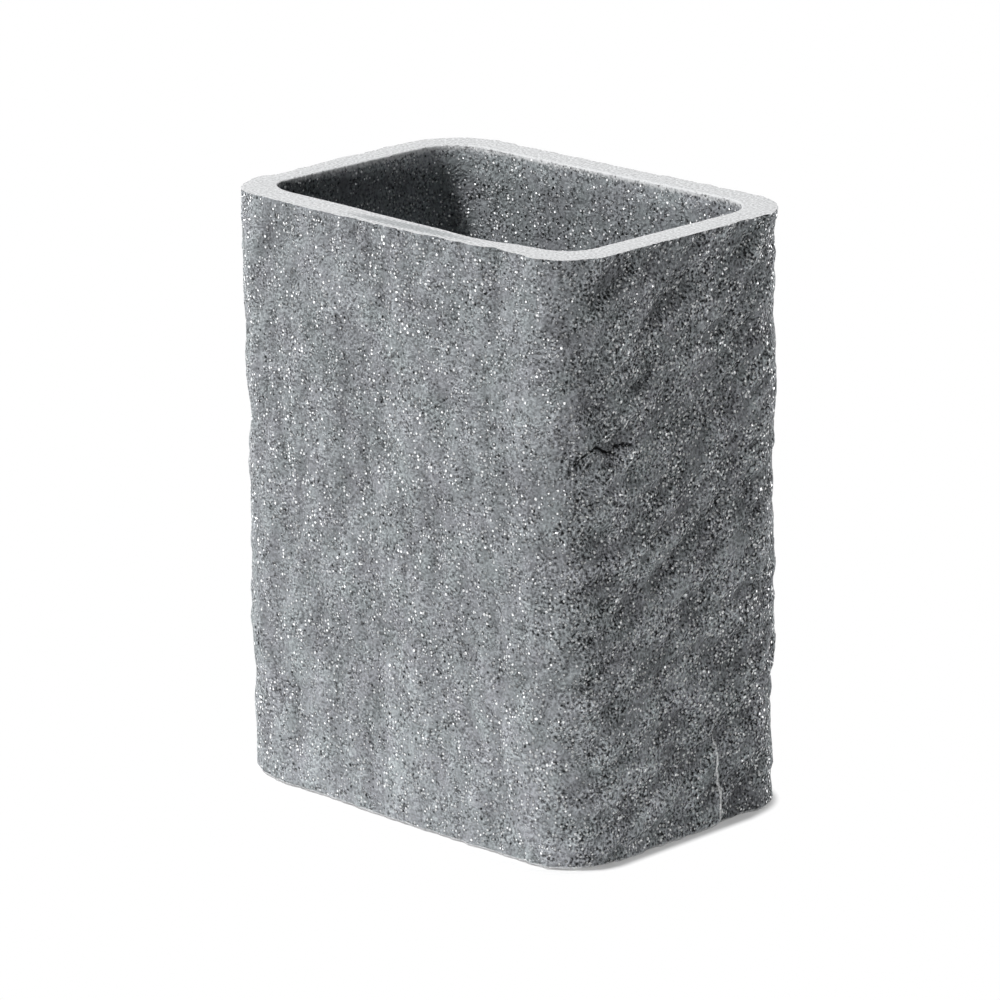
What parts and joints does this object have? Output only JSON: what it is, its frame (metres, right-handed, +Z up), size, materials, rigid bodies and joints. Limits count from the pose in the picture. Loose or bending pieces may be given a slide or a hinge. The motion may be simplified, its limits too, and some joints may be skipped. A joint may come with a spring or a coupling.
{
  "type": "bathroom tumbler",
  "caption": "Rectangular stone-effect bathroom tumbler with a split-stone relief on its walls, a flat ground rim and anti-slip pads under its base.",
  "frame": {"origin": "on the resting plane of the four pads, under the middle of the body's bounding box", "axes": "+Z up through the open mouth, X along the long sides, Y along the short sides, -Y is the front"},
  "size_m": [0.0856, 0.0588, 0.106],
  "materials": {
    "stone_resin": "matte",
    "pad_rubber": "matte",
    "adhesive_film": "satin"
  },
  "bodies": {
    "root": {"cast_body": "stone_resin", "pad_front_left": "pad_rubber", "pad_front_right": "pad_rubber", "pad_back_left": "pad_rubber", "pad_back_right": "pad_rubber", "film_front_left": "adhesive_film", "film_front_right": "adhesive_film", "film_back_left": "adhesive_film", "film_back_right": "adhesive_film"}
  },
  "joints": []
}
